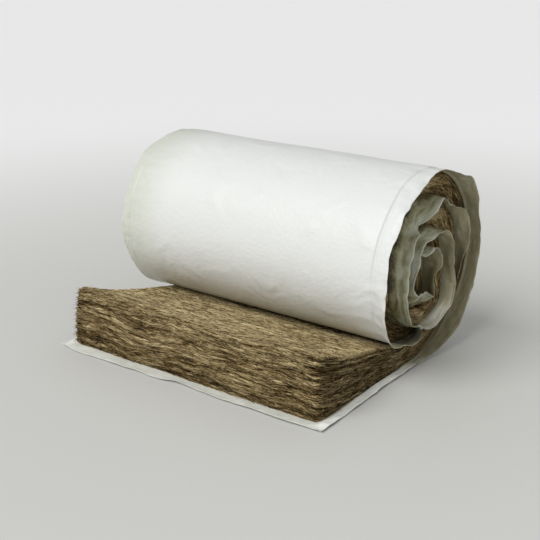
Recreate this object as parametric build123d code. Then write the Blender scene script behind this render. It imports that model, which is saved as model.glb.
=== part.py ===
"""A faced glass-wool insulation blanket, wound into a roll with its outer end laid out flat.

The blanket is two pieces. The wool is one long mat: it is squeezed thin where it is wound, most of all in
the middle of the roll, and it swells back to its free thickness towards the cut end of the tail that lies
on the floor. The facing is one sheet bonded to the wool's outer side. It is wider and longer than the wool,
so that a tab stands out past the wool at both sides and at both ends.

Frame: X runs along the roll's axis, -Y points along the tail, away from the roll, and +Z is up. The origin
is on the floor, in the middle of the part's outline. Sections are drawn as seen from +X, with Y to the
right and Z up, about the point on the floor where the blanket starts to climb. Millimetres.
"""

import math
import os

from build123d import *

# Blanket
WOOL_WIDTH = 1200.0  # along the roll's axis
LOFT = 236.0  # free thickness of the wool, at the cut end of the tail
OUTER_WOOL = 97.0  # thickness of the wool where the winding starts
INNER_WOOL = 67.0  # thickness of the wool around the eye, the hollow in the middle
FACING_THICKNESS = 1.0  # film, scrim and paper backing together
BOND_GAP = 0.3  # between the wool and each facing that it lies against

# Winding
EYE_RADIUS = 20.0  # the tightest bend of the eye
QUARTER_TURNS = 15

# Tail and tabs
TAIL_LENGTH = 648.0  # from where the blanket starts to climb to the wool's cut end
SIDE_TAB = 52.0  # facing beyond the wool at each side
END_TAB = 58.0  # facing beyond the wool at each end
CUT_EDGE_RADIUS = 16.0  # soft upper edge of the cut end
INNER_EDGE_RADIUS = 20.0  # soft edges of the wool's inner end

TURN = 4  # quarter turns
WOOL_BASE = FACING_THICKNESS + BOND_GAP  # the wool's outer side, measured in from the facing's outer side


def step(index):
    """How much smaller the next quarter turn is. Four such steps make room for one layer of blanket."""
    inwards = index / (QUARTER_TURNS + TURN - 1)
    wool = OUTER_WOOL + (INNER_WOOL - OUTER_WOOL) * inwards
    return (wool + FACING_THICKNESS + 2 * BOND_GAP) / TURN


FIRST_RADIUS = EYE_RADIUS + sum(step(i) for i in range(QUARTER_TURNS + TURN - 1))
FRONT = -TAIL_LENGTH - END_TAB  # the facing's edge in front of the wool
MIDDLE = (FRONT + FIRST_RADIUS) / 2


def quarter(index):
    """Centre, radius and first angle of the arc that the facing's outer side follows in one quarter turn.

    Each arc's centre moves towards the point where it starts, so that it runs on smoothly from the last one.
    """
    centre, radius = Vector(0.0, FIRST_RADIUS), FIRST_RADIUS
    for i in range(index):
        centre += Vector(step(i), 0.0).rotate(Axis.Z, 90.0 * i)
        radius -= step(i)
    return centre, radius, 90.0 * (index - 1)


def wound_arc(index, depth, sweep=90.0):
    """One quarter turn, drawn that deep inside the facing's outer side."""
    centre, radius, first_angle = quarter(index)
    return CenterArc(centre, radius - depth, first_angle, sweep)


def tail_top():
    """The wool's upper side: it hugs the roll's underside, then swells in a straight line to the cut end."""
    centre, radius, _ = quarter(TURN - 1)
    radius += BOND_GAP
    cut_edge = Vector(-TAIL_LENGTH, WOOL_BASE + LOFT)
    reach = cut_edge - centre
    leaves_at = math.degrees(math.atan2(reach.Y, reach.X) + math.acos(radius / reach.length)) % 360.0
    hug = CenterArc(centre, radius, leaves_at, 270.0 - leaves_at)
    return [hug, Line(cut_edge, hug @ 0)]


def soften(section, corner, radius):
    """Round one corner of a section, as cut wool has no sharp edge."""
    return fillet(section.vertices().sort_by_distance(corner)[0], radius)


def wool_blanket():
    outer = [wound_arc(i, WOOL_BASE) for i in range(QUARTER_TURNS)]
    inner = [wound_arc(i + TURN, -BOND_GAP) for i in range(QUARTER_TURNS)]
    top = tail_top()
    cut_edge = top[-1] @ 0
    cut_foot = Vector(-TAIL_LENGTH, WOOL_BASE)
    inner_end = Line(outer[-1] @ 1, inner[-1] @ 1)
    outline = [Line(cut_edge, cut_foot), Line(cut_foot, outer[0] @ 0), *outer, inner_end, *inner, *top]
    section = soften(make_face(outline), cut_edge, min(CUT_EDGE_RADIUS, LOFT / 3))
    for corner in (inner_end @ 0, inner_end @ 1):
        section = soften(section, corner, min(INNER_EDGE_RADIUS, INNER_WOOL / 3))
    return extrude(Plane.YZ * section, WOOL_WIDTH / 2, both=True)


def facing_sheet():
    inner_tab = math.degrees(END_TAB / quarter(QUARTER_TURNS)[1])
    sweeps = [90.0] * QUARTER_TURNS + [inner_tab]
    outer = [wound_arc(i, 0.0, sweep) for i, sweep in enumerate(sweeps)]
    inner = [wound_arc(i, FACING_THICKNESS, sweep) for i, sweep in enumerate(sweeps)]
    foot = Vector(FRONT, 0.0)
    lip = Vector(FRONT, FACING_THICKNESS)
    outline = [Line(foot, outer[0] @ 0), *outer, Line(outer[-1] @ 1, inner[-1] @ 1)]
    outline += [*inner, Line(inner[0] @ 0, lip), Line(lip, foot)]
    return extrude(Plane.YZ * make_face(outline), WOOL_WIDTH / 2 + SIDE_TAB, both=True)


def main():
    pieces = {"wool_blanket": wool_blanket(), "facing_sheet": facing_sheet()}
    os.makedirs("parts", exist_ok=True)
    for name, piece in pieces.items():
        export_step(Pos(0, -MIDDLE, 0) * piece, f"parts/{name}.step")
        print(name, f"{piece.volume / 1e9:.4f} m3")
    print(f"roll {2 * FIRST_RADIUS - step(0):.2f} mm wide, climbs at y = {-MIDDLE:.3f} mm")


main()
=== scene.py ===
# %% [markdown]
# # A roll of faced glass wool
#
# The object is a blanket of brown glass wool, wound into a roll, with its outer end laid out flat. One side
# of the wool has a white facing glued to it, wider and longer than the wool, so loose tabs of it stand out
# at both ends of the roll and round the tail. This script loads the solids as a fixed frame, then makes a
# finer wool and a finer facing in the same places.

# %% Load the solids
import math

import bmesh
import bpy
import numpy as np
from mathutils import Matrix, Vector


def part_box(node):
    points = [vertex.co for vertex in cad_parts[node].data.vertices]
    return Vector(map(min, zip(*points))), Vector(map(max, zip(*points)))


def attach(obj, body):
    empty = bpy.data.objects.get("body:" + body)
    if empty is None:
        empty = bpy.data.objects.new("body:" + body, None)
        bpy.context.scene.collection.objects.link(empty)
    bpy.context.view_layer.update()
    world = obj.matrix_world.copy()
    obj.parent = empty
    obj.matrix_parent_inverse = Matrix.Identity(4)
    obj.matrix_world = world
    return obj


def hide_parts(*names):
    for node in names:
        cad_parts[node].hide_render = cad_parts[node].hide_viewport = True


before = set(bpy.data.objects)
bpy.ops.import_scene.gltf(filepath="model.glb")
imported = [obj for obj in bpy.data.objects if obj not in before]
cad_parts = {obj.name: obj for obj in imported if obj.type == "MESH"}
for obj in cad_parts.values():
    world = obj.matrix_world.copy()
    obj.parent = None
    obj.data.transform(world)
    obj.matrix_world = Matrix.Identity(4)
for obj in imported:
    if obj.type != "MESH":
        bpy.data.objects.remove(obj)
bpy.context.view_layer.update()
_, wool_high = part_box("wool_blanket")
facing_low, facing_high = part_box("facing_sheet")

# %% [markdown]
# ## The winding
#
# The facing's outer side is a chain of quarter arcs. Each arc is a little smaller than the one before, and
# its centre moves towards the point where the arc starts, so the chain runs on smoothly. Everything in the
# roll is placed by two numbers: how far along the blanket, measured from the line where it leaves the floor,
# and how deep inside the facing. The tail has negative lengths and lies flat. A spiral curve with a bevel
# would draw the same line, but it wouldn't give the place of a point inside the wool.

# %% Lay out the quarter arcs
MM = 0.001
TURN = 4  # quarter turns
QUARTER_TURNS = 15
OUTER_WOOL = 97.0 * MM  # thickness where the winding starts
INNER_WOOL = 67.0 * MM  # thickness around the eye, the hollow in the middle
FACING_THICKNESS = 1.0 * MM
BOND_GAP = 0.3 * MM  # between the wool and each facing that it lies against


def step(index):
    """How much smaller the next quarter turn is. Four such steps make room for one layer of blanket."""
    inwards = index / (QUARTER_TURNS + TURN - 1)
    wool = OUTER_WOOL + (INNER_WOOL - OUTER_WOOL) * inwards
    return (wool + FACING_THICKNESS + 2 * BOND_GAP) / TURN


first_radius = (facing_high.z + step(0)) / 2
climb = facing_high.y - first_radius  # where the blanket leaves the floor
arc_count = QUARTER_TURNS + TURN
steps = np.array([step(i) for i in range(arc_count)])
headings = np.arange(arc_count) * math.pi / 2
moves = np.stack([np.cos(headings), np.sin(headings)], axis=1) * steps[:, None]
arc_centres = np.array([climb, first_radius]) + np.vstack([np.zeros(2), np.cumsum(moves, axis=0)])
arc_radii = first_radius - np.concatenate([[0.0], np.cumsum(steps)])
arc_starts = np.concatenate([[0.0], np.cumsum(arc_radii * math.pi / 2)])[:arc_count]
eye_centre = arc_centres[-1]
wound_length = arc_starts[QUARTER_TURNS]
print(f"{wound_length:.2f} m wound, first radius {first_radius:.3f} m, eye at", np.round(eye_centre, 3))

# %% [markdown]
# ## A roll that has settled
#
# The real roll has been squeezed and has sagged. Its inner turns are narrower than they are high, they hang
# lower than the solid's, and low at the back they have a corner pushed out. A lattice could bend the finished
# pieces like this. Here the shifts are part of the function that places points, so that the wool and the
# facing move together. They start at the second turn and grow inwards.

# %% Place points in the roll
EYE_SQUEEZE = 0.40  # share of its width that the innermost turn has lost
SETTLING = [(4, 0), (6, 4), (8, 22), (10, 34), (12, 38), (14, 20)]  # quarter turn, mm lower than the solid
CORNER_AT = 0.55  # quarter turns past the bottom
CORNER_SPREAD = 0.3  # quarter turns
CORNER_PUSH = (28.0 * MM, -48.0 * MM)  # back and down


def listed(pairs, place):
    """Read a list of (place, value) pairs at any place, in straight lines between them."""
    return np.interp(place, *zip(*pairs))


def arc_at(along):
    """Which quarter arc a point that far along the blanket is on."""
    return np.clip(np.searchsorted(arc_starts, along, side="right") - 1, 0, arc_count - 1)


def quarters(along):
    """How many quarter turns the blanket has made at that length. The tail counts on below zero."""
    arc = arc_at(along)
    return arc + (along - arc_starts[arc]) / (arc_radii[arc] * math.pi / 2)


def layer(along):
    """Thickness of the wool at that length, in the roll."""
    outer_radii = arc_radii[:QUARTER_TURNS + 1]
    inner_radii = np.append(arc_radii, arc_radii[-1])[TURN:TURN + QUARTER_TURNS + 1]
    middles = np.arange(QUARTER_TURNS + 1) + 0.5
    return np.interp(quarters(along), middles, outer_radii - inner_radii) - FACING_THICKNESS - 2 * BOND_GAP


def wound(along, depth):
    """Y and Z of points that far along the blanket and that deep inside the facing's outer side."""
    along, depth = np.broadcast_arrays(np.asarray(along, float), np.asarray(depth, float))
    arc = arc_at(along)
    angle = (arc - 1) * math.pi / 2 + (along - arc_starts[arc]) / arc_radii[arc]
    y = arc_centres[arc, 0] + (arc_radii[arc] - depth) * np.cos(angle)
    z = arc_centres[arc, 1] + (arc_radii[arc] - depth) * np.sin(angle)
    turns = quarters(along)
    inwards = turns + TURN * depth / (layer(along) + FACING_THICKNESS)
    squeeze = EYE_SQUEEZE * np.clip((inwards - TURN) / QUARTER_TURNS, 0.0, 1.0)
    pushed = np.exp(-(((turns % TURN - CORNER_AT) / CORNER_SPREAD) ** 2))
    pushed = pushed * np.clip((inwards - 2 * TURN) / TURN, 0.0, 1.0)
    y = y - (y - eye_centre[0]) * squeeze + CORNER_PUSH[0] * pushed
    z = z - listed(SETTLING, inwards) * MM + CORNER_PUSH[1] * pushed
    flat = along < 0
    return np.where(flat, climb + along, y), np.where(flat, depth, z)


print("innermost point", np.round(wound(wound_length, INNER_WOOL), 3))

# %% [markdown]
# ## Where the edges run
#
# A blanket never winds quite straight. Where it climbs, its right-hand edge lies further in than at the
# tail's corner, and on the inner turns the wool has drawn back from the facing's edge. The lists say how far
# an edge has moved out, in millimetres, against the quarter turn. The tail's cut end is near minus one. They
# are judged place by place, because no rule gives the way that one roll was wound.

# %% Place the edges
RIGHT_WOOL = [
    (-1.0, 0), (0.0, -40), (0.5, -36), (0.9, -20), (1.6, -18), (2.1, -12), (2.5, 0), (3.2, -4), (3.6, -40),
    (4.1, -56), (4.4, -30), (4.8, -6), (5.6, 0), (5.85, -20), (6.05, -40), (7.4, -40), (7.8, -20), (8.0, -6),
    (9.3, 0), (9.65, -4), (9.9, -30), (10.1, -42), (13.9, -44), (14.5, -4)]
LEFT_WOOL = [(-1.0, 0), (0.0, -5), (1.0, 0), (3.4, 0), (4.4, -14), (5.2, -30), (16.0, -34)]
RIGHT_FILM = [
    (-1.0, 0), (-0.1, -46), (0.1, -44), (0.45, -12), (1.25, -6), (1.42, 8), (1.6, 8), (2.0, 6), (2.6, 14),
    (3.4, 12), (3.6, 4), (3.9, -16), (4.2, -10), (4.6, 0), (6.2, 2), (6.5, 20), (7.0, 18), (7.4, 4), (8.0, 0),
    (8.3, 14), (8.6, 8), (9.0, 0), (10.8, 0), (11.2, -8), (12.0, -6), (14.1, 0),
    (14.3, -12), (14.5, -48), (15.2, -48)]
LEFT_FILM = [(-1.0, 0), (0.0, -4), (1.0, 7), (3.4, 9), (4.2, 0)]
half_wool = wool_high.x
half_facing = facing_high.x


def by_side(right, left, turns, side):
    """Read the right-hand list where side is above 0, and the left-hand list elsewhere."""
    return np.where(side > 0, listed(right, turns), listed(left, turns))


def wool_edge(along, side):
    """Distance of the wool's edge from the middle of the blanket."""
    return half_wool + by_side(RIGHT_WOOL, LEFT_WOOL, quarters(along), side) * MM


def film_edge(along, side):
    """Distance of the facing's edge from the middle of the blanket."""
    return half_facing + by_side(RIGHT_FILM, LEFT_FILM, quarters(along), side) * MM


print(f"wool {2 * half_wool:.3f} m wide, facing {2 * half_facing:.3f} m")

# %% [markdown]
# ## Noise
#
# Torn fibres and creased film are never regular. A repeatable noise worked out for whole arrays of points is
# quicker than asking for one point at a time. The smooth kind suits wool. The flat-faceted kind has straight
# ridges between its high and low points, as a film that has been crumpled and pulled out again.

# %% Make repeatable noise
SCATTER = (374761393, 668265263, 974711, 1274126177)  # large odd numbers, which mix whole numbers well
LOW_32_BITS = 0xFFFFFFFF
LOW_16_BITS = 0xFFFF
PULL = 0.45  # how far facets are pulled out of line, as a share of their size
PULL_SCALE = 0.7


def ease(value):
    """0 below 0, 1 above 1, and a smooth rise between."""
    share = np.clip(value, 0.0, 1.0)
    return share * share * (3 - 2 * share)


def hashed(column, row, seed):
    """A repeatable number from 0 to 1 for each whole-numbered cell."""
    mixed = (column * SCATTER[0] + row * SCATTER[1] + seed * SCATTER[2]) & LOW_32_BITS
    mixed = ((mixed ^ (mixed >> 13)) * SCATTER[3]) & LOW_32_BITS
    return ((mixed ^ (mixed >> 16)) & LOW_16_BITS) / LOW_16_BITS


def cell_corners(u, v, seed):
    """The numbers at the four corners of each point's cell, and the point's place in it."""
    u, v = np.broadcast_arrays(np.asarray(u, float), np.asarray(v, float))
    column, row = np.floor(u).astype(np.int64), np.floor(v).astype(np.int64)
    corners = [hashed(column + i, row + j, seed) for j in (0, 1) for i in (0, 1)]
    return corners, u - column, v - row


def waves(u, v, seed):
    """Smooth noise from -1 to 1, with bumps about one unit apart."""
    (a, b, c, d), pu, pv = cell_corners(u, v, seed)
    low = a + (b - a) * ease(pu)
    high = c + (d - c) * ease(pu)
    return 2 * (low + (high - low) * ease(pv)) - 1


def facets(u, v, seed):
    """Noise from -1 to 1 made of flat triangles, pulled out of line so that no grid shows."""
    pulled_u = u + PULL * waves(u * PULL_SCALE, v * PULL_SCALE, seed + 1)
    pulled_v = v + PULL * waves(u * PULL_SCALE, v * PULL_SCALE, seed + 2)
    (a, b, c, d), pu, pv = cell_corners(pulled_u, pulled_v, seed)
    near = a + (b - a) * pu + (c - a) * pv
    far = d + (c - d) * (1 - pu) + (b - d) * (1 - pv)
    return 2 * np.where(pu + pv < 1, near, far) - 1


print("noise at three places", np.round(waves(np.array([0.2, 0.5, 0.8]), 0.5, seed=1), 3))

# %% [markdown]
# ## Pieces from nets
#
# Each soft piece starts as a plain net made by mesh operators, because a net's vertices say by their place
# which column and row they are. Its vertices then move to where the winding puts them. Sculpting could give
# the same folds, but not the same ones on every run. Two helpers read and write all the vertices at once, one
# makes a net a mesh, one stores numbers for a material, and one puts a finished mesh into the scene as a part
# of the object.

# %% Helpers for meshes
def mesh_points(mesh):
    points = np.empty(len(mesh.vertices) * 3)
    mesh.vertices.foreach_get("co", points)
    return points.reshape(-1, 3)


def set_points(mesh, points):
    mesh.vertices.foreach_set("co", np.ascontiguousarray(points, float).ravel())
    mesh.update()


def mesh_from(net, name):
    """Turn a net into a mesh and free it."""
    mesh = bpy.data.meshes.new(name)
    net.to_mesh(mesh)
    net.free()
    return mesh


def paint(mesh, name, values):
    """Store a number, or a vector, at each vertex for a material to read."""
    values = np.asarray(values, float)
    kind, key = ("FLOAT", "value") if values.ndim == 1 else ("FLOAT_VECTOR", "vector")
    mesh.attributes.new(name, kind, "POINT").data.foreach_set(key, values.ravel())


def add_piece(name, mesh, node):
    piece = bpy.data.objects.new(name, mesh)
    bpy.context.scene.collection.objects.link(piece)
    mesh.shade_smooth()
    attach(piece, "root")
    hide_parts(node)
    mesh.calc_loop_triangles()
    print(name, len(mesh.loop_triangles), "triangles")
    return piece


# %% [markdown]
# ## The wool's fibres
#
# Glass wool is laid down in thin mats, so a cut shows wavy layers about a centimetre thick, with dark gaps
# between tufts that stand out. A displacement texture could draw them, but it wouldn't know the layers. One
# function gives the relief for every cut face instead, and a tone to go with it, in which the gaps are
# painted darker as shade. It is drawn in two lengths: along the face, and across the layers.

# %% Shape the fibre relief
LAYER = 9.0 * MM
TUFT_LENGTH = 85.0 * MM
SLOW_STRAY = (260.0 * MM, 100.0 * MM)  # lengths of a layer's waves, along the face and across the layers
QUICK_STRAY = (100.0 * MM, 45.0 * MM)
LUMP = (160.0 * MM, 70.0 * MM)
TAIL_FIBRES = 11  # seeds, so that the roll's ends don't repeat the tail
ROLL_FIBRES = 31


def wander(s, t, seed=TAIL_FIBRES):
    """How far the layers have strayed from straight lines, in metres."""
    slow = waves(s / SLOW_STRAY[0], t / SLOW_STRAY[1], seed)
    quick = waves(s / QUICK_STRAY[0], t / QUICK_STRAY[1], seed + 1)
    return LAYER * (1.1 * slow + 0.8 * quick)


def fibre_relief(s, t, seed=TAIL_FIBRES):
    """How far the wool stands out, in metres, and its tone: 0 is middling, below it dark, above it pale."""
    lay = (t + wander(s, t, seed)) / LAYER
    tufts = waves(s / TUFT_LENGTH, lay, seed + 2)
    locks = waves(s / (0.5 * TUFT_LENGTH), lay * 1.7, seed + 3)
    fine = waves(s / (0.25 * TUFT_LENGTH), lay * 2.9, seed + 4)
    lumps = waves(s / LUMP[0], t / LUMP[1], seed + 5)
    mix = 0.5 * tufts + 0.35 * locks + 0.15 * fine
    # The gaps sink into the relief, and the tone is painted darker there as shade
    gap_depth_and_shade = ease((-0.16 - mix) / 0.35)
    stands_out = 3.0 * tufts + 2.2 * locks + 1.3 * fine + 3.2 * lumps - 3.0 * gap_depth_and_shade  # millimetres
    return stands_out * MM, 0.95 * mix - 0.40 * gap_depth_and_shade + 0.14 * lumps


print(f"layers {LAYER / MM:.0f} mm thick, tufts {TUFT_LENGTH / MM:.0f} mm long")

# %% [markdown]
# ## The tail's wool
#
# Where the blanket lies free it swells back to its full thickness. Its top hugs the underside of the roll,
# then rises in a straight line to the cut end. Its soft edges aren't true: the cut end is a little swollen,
# most of all at the left-hand corner, the top sags on the way to the roll, and it is pressed down where the
# roll lifts off it.

# %% Work out the tail's height
LOFT = 236.0 * MM
END_TAB = 58.0 * MM
WOOL_BASE = FACING_THICKNESS + BOND_GAP
CUT_SWELL = 7.0 * MM  # of the top along the cut end, and how far it rises and falls there
CORNER_SWELL = 10.0 * MM  # more at the left-hand corner
SWELL_WAVE = 230.0 * MM
SWELL_REACH = 100.0 * MM
SAG = 9.0 * MM
DIP = 13.0 * MM  # where the roll lifts off, fading to nothing at the left-hand end
DIP_REACH = 90.0 * MM

cut_end = facing_low.y + END_TAB
tail_length = climb - cut_end
hug_centre = arc_centres[TURN - 1]
hug_radius = arc_radii[TURN - 1] + BOND_GAP
to_edge = np.array([cut_end, WOOL_BASE + LOFT]) - hug_centre
leaves_at = math.atan2(to_edge[1], to_edge[0]) + math.acos(hug_radius / np.hypot(*to_edge))
leaves = hug_centre + hug_radius * np.array([math.cos(leaves_at), math.sin(leaves_at)])
tail_reach = leaves[0] - cut_end  # the top that can be seen, from the cut end to the roll


def tail_height(back, across):
    """Thickness of the tail's wool, by the distance back from its cut end."""
    y = cut_end + back
    ramp = np.interp(y, [cut_end, leaves[0]], [WOOL_BASE + LOFT, leaves[1]])
    hug = hug_centre[1] - np.sqrt(np.maximum(hug_radius**2 - (y - hug_centre[0]) ** 2, 0.0))
    leftwards = np.clip(-across / half_wool, 0.0, 1.0)
    swell = CUT_SWELL + CORNER_SWELL * leftwards + CUT_SWELL * waves(across / SWELL_WAVE, 1.0, seed=7)
    sag = SAG * np.sin(math.pi * np.clip(back / tail_reach, 0.0, 1.0))
    soft = swell * np.exp(-((back / SWELL_REACH) ** 2)) - sag
    dip = DIP * np.exp(-(((y - leaves[0]) / DIP_REACH) ** 2)) * ease((across + half_wool) / half_wool)
    return np.where(y < leaves[0], ramp + soft, hug) - dip - WOOL_BASE


print(f"tail {tail_length:.3f} m long, {LOFT:.3f} m thick at its cut end, seen for {tail_reach:.3f} m")

# %% [markdown]
# ## The tail's skin
#
# A bevel would round the block evenly, but cut wool is softer at the top than at the sides. So the rounding
# takes a point's distances from the nearer side, the cut end and the top, and pulls it in where two of them
# are small. The left-hand side, pressed by the roll's weight, bulges below its top. The relief fades where
# the tail joins the roll, and the tone darkens towards the floor. The sides, and the top under the roll, are
# painted darker as shade.

# %% Shape the tail's skin
CORNERS = np.array([[18.0], [36.0], [46.0]]) * MM  # softness of the sides, the cut end and the top
FLANK_BULGE = 0.05  # how much wider the left-hand half is below its top
BULGE_WAVE = 0.62 * math.pi  # how far along a sine wave the bulge has come at the floor
JOIN = 250.0 * MM  # before the climb, where the bulge and the relief on top fade out
SIDE_JOIN = 80.0 * MM  # before the climb, where the relief on the sides fades out
SHADE_AHEAD = 45.0 * MM  # before the roll, where the top starts to darken
SHADE_REACH = 50.0 * MM
SHADE = 0.9  # how much darker the top is painted under the roll, as its shade
PLAIN_TONE = 0.18
TOP_PALER = 0.44
FOOT_DARKER = 0.34
# painted shade on the tail's sides
SIDE_PAINTED_SHADE = 0.18
TINY = 1e-9  # stands in for a length of nothing in a division


def soft_corners(inside):
    """Round a block by its distances from side, end and top. Gives new distances and the way it faces."""
    corner = np.maximum(1 - inside / CORNERS, 0.0)
    reach = np.maximum(np.linalg.norm(corner, axis=0), TINY)
    inside = inside + CORNERS * corner * (1 - np.minimum(1 / reach, 1.0))
    out = corner / CORNERS
    return inside, out / np.maximum(np.linalg.norm(out, axis=0), TINY)


def tail_skin(across, back, height):
    """Points on the tail's wool, outward directions, lengths along and across the fibres, and tone."""
    full = tail_height(back, across)
    side = np.where(across < 0, -1.0, 1.0)
    before_climb = tail_length - back
    inside, out = soft_corners(np.stack([half_wool - np.abs(across), back, full - height]))
    flank, front, top = out**2
    s = across + side * flank * back
    t = LOFT * height / full + (front < 0.5) * (flank < 0.5) * back
    stand, tone = fibre_relief(s, t)
    joined = ease(before_climb / JOIN)
    strength = front + 0.8 * flank * ease(before_climb / SIDE_JOIN) + 0.6 * top * joined
    foot = 1 - height / full
    # The sides are painted darker as shade, and further down the top under the roll is too
    tone = tone * (1 - 0.2 * top) + PLAIN_TONE + TOP_PALER * top - SIDE_PAINTED_SHADE * flank
    tone = tone - FOOT_DARKER * foot**2 * (1 - top)
    tone = tone - SHADE * top * ease((back - tail_reach + SHADE_AHEAD) / SHADE_REACH)
    bulge = FLANK_BULGE * (side < 0) * np.sin(BULGE_WAVE * foot) * joined
    wide = wool_edge(-before_climb, side) / half_wool * (1 + bulge)
    x = side * (half_wool - inside[0]) * wide
    flow = np.stack([x, cut_end + inside[1], WOOL_BASE + full - inside[2]], axis=1)
    out = np.stack([side * out[0], -out[1], out[2]], axis=1)
    lengths = np.stack([s, t + wander(s, t), np.zeros_like(s)], axis=1)
    return flow + out * (stand * strength)[:, None], out, lengths, tone


print(f"left-hand side bulges by up to {FLANK_BULGE * half_wool / MM:.0f} mm")

# %% [markdown]
# ## The tail's block
#
# The tail starts as a flat net. It is extruded up to a block, and its upright edges are cut into layers, so
# the front, the sides and the top all have vertices close enough for tufts. A cube with subdivisions would
# be as fine underneath and at the back, where nothing shows. Those two sides are dissolved to one face each.

# %% Build the tail's wool
TAIL_COLUMNS = 300
TAIL_ROWS = 84
TAIL_LAYERS = 88
CUT_CROWDING = 1.25  # above 1, the rows crowd towards the cut end
NEAR = 0.001  # how near a side of the net a vertex on that side lies


def raise_net(net):
    """Extrude a flat net up by its own width, into a block."""
    grown = bmesh.ops.extrude_face_region(net, geom=net.faces[:])["geom"]
    upper = [part for part in grown if isinstance(part, bmesh.types.BMVert)]
    bmesh.ops.translate(net, verts=upper, vec=(0.0, 0.0, 1.0))


def upright_edges(net):
    return [edge for edge in net.edges if edge.verts[0].co.z != edge.verts[1].co.z]


block = bmesh.new()
bmesh.ops.create_grid(block, x_segments=TAIL_COLUMNS, y_segments=TAIL_ROWS, size=0.5)
raise_net(block)
bmesh.ops.subdivide_edges(block, edges=upright_edges(block), cuts=TAIL_LAYERS - 1, use_grid_fill=True)
underside = [face for face in block.faces if all(vert.co.z < NEAR for vert in face.verts)]
bmesh.ops.dissolve_faces(block, faces=underside)
back_face = [face for face in block.faces if all(vert.co.y > 0.5 - NEAR for vert in face.verts)]
bmesh.ops.dissolve_faces(block, faces=back_face)
bmesh.ops.recalc_face_normals(block, faces=block.faces[:])
tail_mesh = mesh_from(block, "wool_tail")
net = mesh_points(tail_mesh)
back = tail_length * (net[:, 1] + 0.5) ** CUT_CROWDING
across = 2 * half_wool * net[:, 0]
points, _, fibre, tone = tail_skin(across, back, net[:, 2] * tail_height(back, across))
set_points(tail_mesh, points)
paint(tail_mesh, "fibre", fibre)
paint(tail_mesh, "tone", tone)
wool_tail = add_piece("wool_tail", tail_mesh, "wool_blanket")

# %% [markdown]
# ## The wound wool
#
# Inside the roll only the wool's two edges can be seen, so that is where its net is fine. The net is one
# edge, long and thin. It is extruded once across the roll to make the other edge and the hidden sides. Each
# edge is puffed out in the middle of the layer's thickness and drawn in beside the facings that squeeze it.
# In places it is painted darker, as the shade where it lies deep in the roll, and a list for each end
# says where.

# %% Shape the wound wool
PUFF = 12.0 * MM  # how far the middle of a layer stands out past its squeezed sides
END_RELIEF = 1.3  # how much more the fibres stand out here than on the tail
UNEVEN = 8.0 * MM
UNEVEN_LENGTH = 200.0 * MM
FADE_IN = 250.0 * MM  # of the winding, where the relief grows from the smooth join to the tail
OTHER_END = 9.0  # metres further along the noise, so that the two ends differ
PATTERN_START = 2.0  # metres along the material's pattern, so that it doesn't repeat the tail's
WOUND_TONE = 0.65
PRESSED_DARKER = 0.3
RIGHT_PAINTED_SHADE = [  # quarter turn, how much darker the wool is painted, as shade
    (0.0, 0.65), (0.8, 0.4), (1.2, 0.8), (1.6, 0.8), (2.0, 0.2), (2.3, 0.0), (3.2, 0.0), (3.5, 0.8),
    (4.3, 0.8), (4.8, 0.2), (5.1, 0.6), (5.5, 0.5), (6.0, 0.0), (7.6, 0.3), (8.4, 0.4), (9.2, 0.8),
    (10.2, 0.7), (11.0, 0.1)]
LEFT_PAINTED_SHADE = [(0.0, 0.75), (0.3, 0.55), (1.4, 0.0)]
wound_loft = 0.45 * LOFT  # the thickness that the relief is drawn for; squeezed layers would be too fine


def roll_skin(along, share, side):
    """Points on the wound wool's two edges, with the share of its thickness counted from the facing."""
    y, z = wound(along, WOOL_BASE + share * layer(along))
    stand, tone = fibre_relief(along + (side > 0) * OTHER_END, share * wound_loft, ROLL_FIBRES)
    pressed = (2 * share - 1) ** 4
    uneven = UNEVEN * waves(along / UNEVEN_LENGTH, side * 3.0, seed=5) - PUFF * pressed
    x = side * (wool_edge(along, side) + (uneven + END_RELIEF * stand) * ease(along / FADE_IN))
    t = share * LOFT
    strayed = t + wander(along, t, ROLL_FIBRES)
    lengths = np.stack([along + PATTERN_START, strayed, np.zeros_like(along)], axis=1)
    # Painted shade, where the wool's edge lies deep in the roll
    deep = by_side(RIGHT_PAINTED_SHADE, LEFT_PAINTED_SHADE, quarters(along), side)
    tone = 0.4 * tone + WOUND_TONE - PRESSED_DARKER * pressed - deep
    return np.stack([x, y, z], axis=1), lengths, tone


print(f"wound wool {layer(0.0) / MM:.0f} mm thick at first, {layer(wound_length) / MM:.0f} mm at the eye")

# %% Build the wound wool
ROLL_ROWS = 1050
ROLL_LAYERS = 18

band = bmesh.new()
bmesh.ops.create_grid(band, x_segments=ROLL_ROWS, y_segments=ROLL_LAYERS, size=0.5)
raise_net(band)
roll_mesh = mesh_from(band, "wool_winding")
net = mesh_points(roll_mesh)
points, fibre, tone = roll_skin(wound_length * (net[:, 0] + 0.5), net[:, 1] + 0.5, np.sign(net[:, 2] - 0.5))
set_points(roll_mesh, points)
outward = bmesh.new()
outward.from_mesh(roll_mesh)
bmesh.ops.recalc_face_normals(outward, faces=outward.faces[:])
outward.to_mesh(roll_mesh)
outward.free()
paint(roll_mesh, "fibre", fibre)
paint(roll_mesh, "tone", tone)
wool_winding = add_piece("wool_winding", roll_mesh, "wool_blanket")

# %% [markdown]
# ## Loose strands
#
# A mat of wool has no clean surface: bundles of fibre lie over each other and stand off it. Hair curves would
# have to be made a mesh in the end, and a curve object for each strand would be slow. So one thin tube is
# made and doubled until there are thousands in one net, side by side. A vertex's place in the net says its
# strand, its ring and its corner, and it moves to the strand's spine. The random numbers come from a fixed
# seed, so that each run gives the same wool.

# %% Make tubes for strands
RINGS = 4
RING_SIDES = 3
NET_RADIUS = 0.25  # of a tube in the net, where the tubes stand one unit apart
ROUND_TIPS = (0.14, 0.86)  # the stretch of half a sine wave that a strand's thickness follows
REFERENCE = np.array([0.31, 0.42, 0.85])  # a direction that hardly any strand follows


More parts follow.
